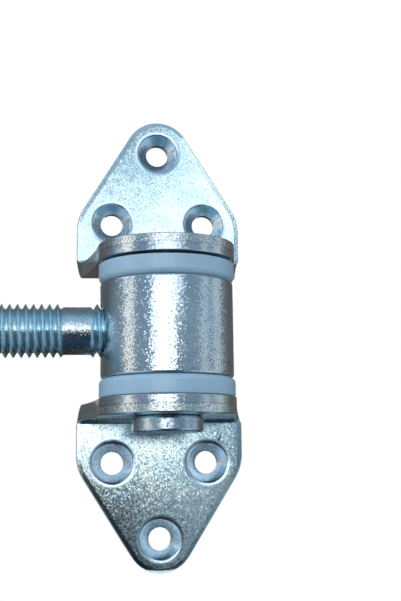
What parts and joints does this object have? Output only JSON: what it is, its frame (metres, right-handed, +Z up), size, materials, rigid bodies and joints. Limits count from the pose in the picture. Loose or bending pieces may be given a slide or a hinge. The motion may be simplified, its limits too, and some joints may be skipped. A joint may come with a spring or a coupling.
{
  "type": "adjustable gate hinge",
  "caption": "Wall-mounted hinge: two bent L brackets hold a pin, on which a bushed barrel with a threaded adjusting stud turns.",
  "frame": {"origin": "centre of the six screw holes, on the plane of the wall that the bracket plates are screwed to", "axes": "+Z up along the hinge pin; +Y into the wall, so the pin stands off towards -Y; the stud points to -X at rest"},
  "size_m": [0.095, 0.04, 0.1106],
  "materials": {
    "zinc_plated_steel": "blue-white zinc plating on sheet, satin",
    "barrel_steel": "zinc plating on a turned tube",
    "pin_steel": "zinc plating on a formed head",
    "stud_steel": "zinc plating on a rolled thread",
    "natural_nylon": "smooth moulded nylon"
  },
  "bodies": {
    "wall_side": {"upper_bracket": "zinc_plated_steel", "lower_bracket": "zinc_plated_steel", "hinge_pin": "pin_steel"},
    "gate_side": {"barrel": "barrel_steel", "upper_bush": "natural_nylon", "lower_bush": "natural_nylon", "threaded_stud": "stud_steel"}
  },
  "joints": [
    {"name": "gate_swing", "type": "hinge", "parent": "wall_side", "child": "gate_side", "pos_m": [0, -0.0245, -0.00025], "axis": [0, 0, 1], "range_deg": [0, 180]}
  ]
}
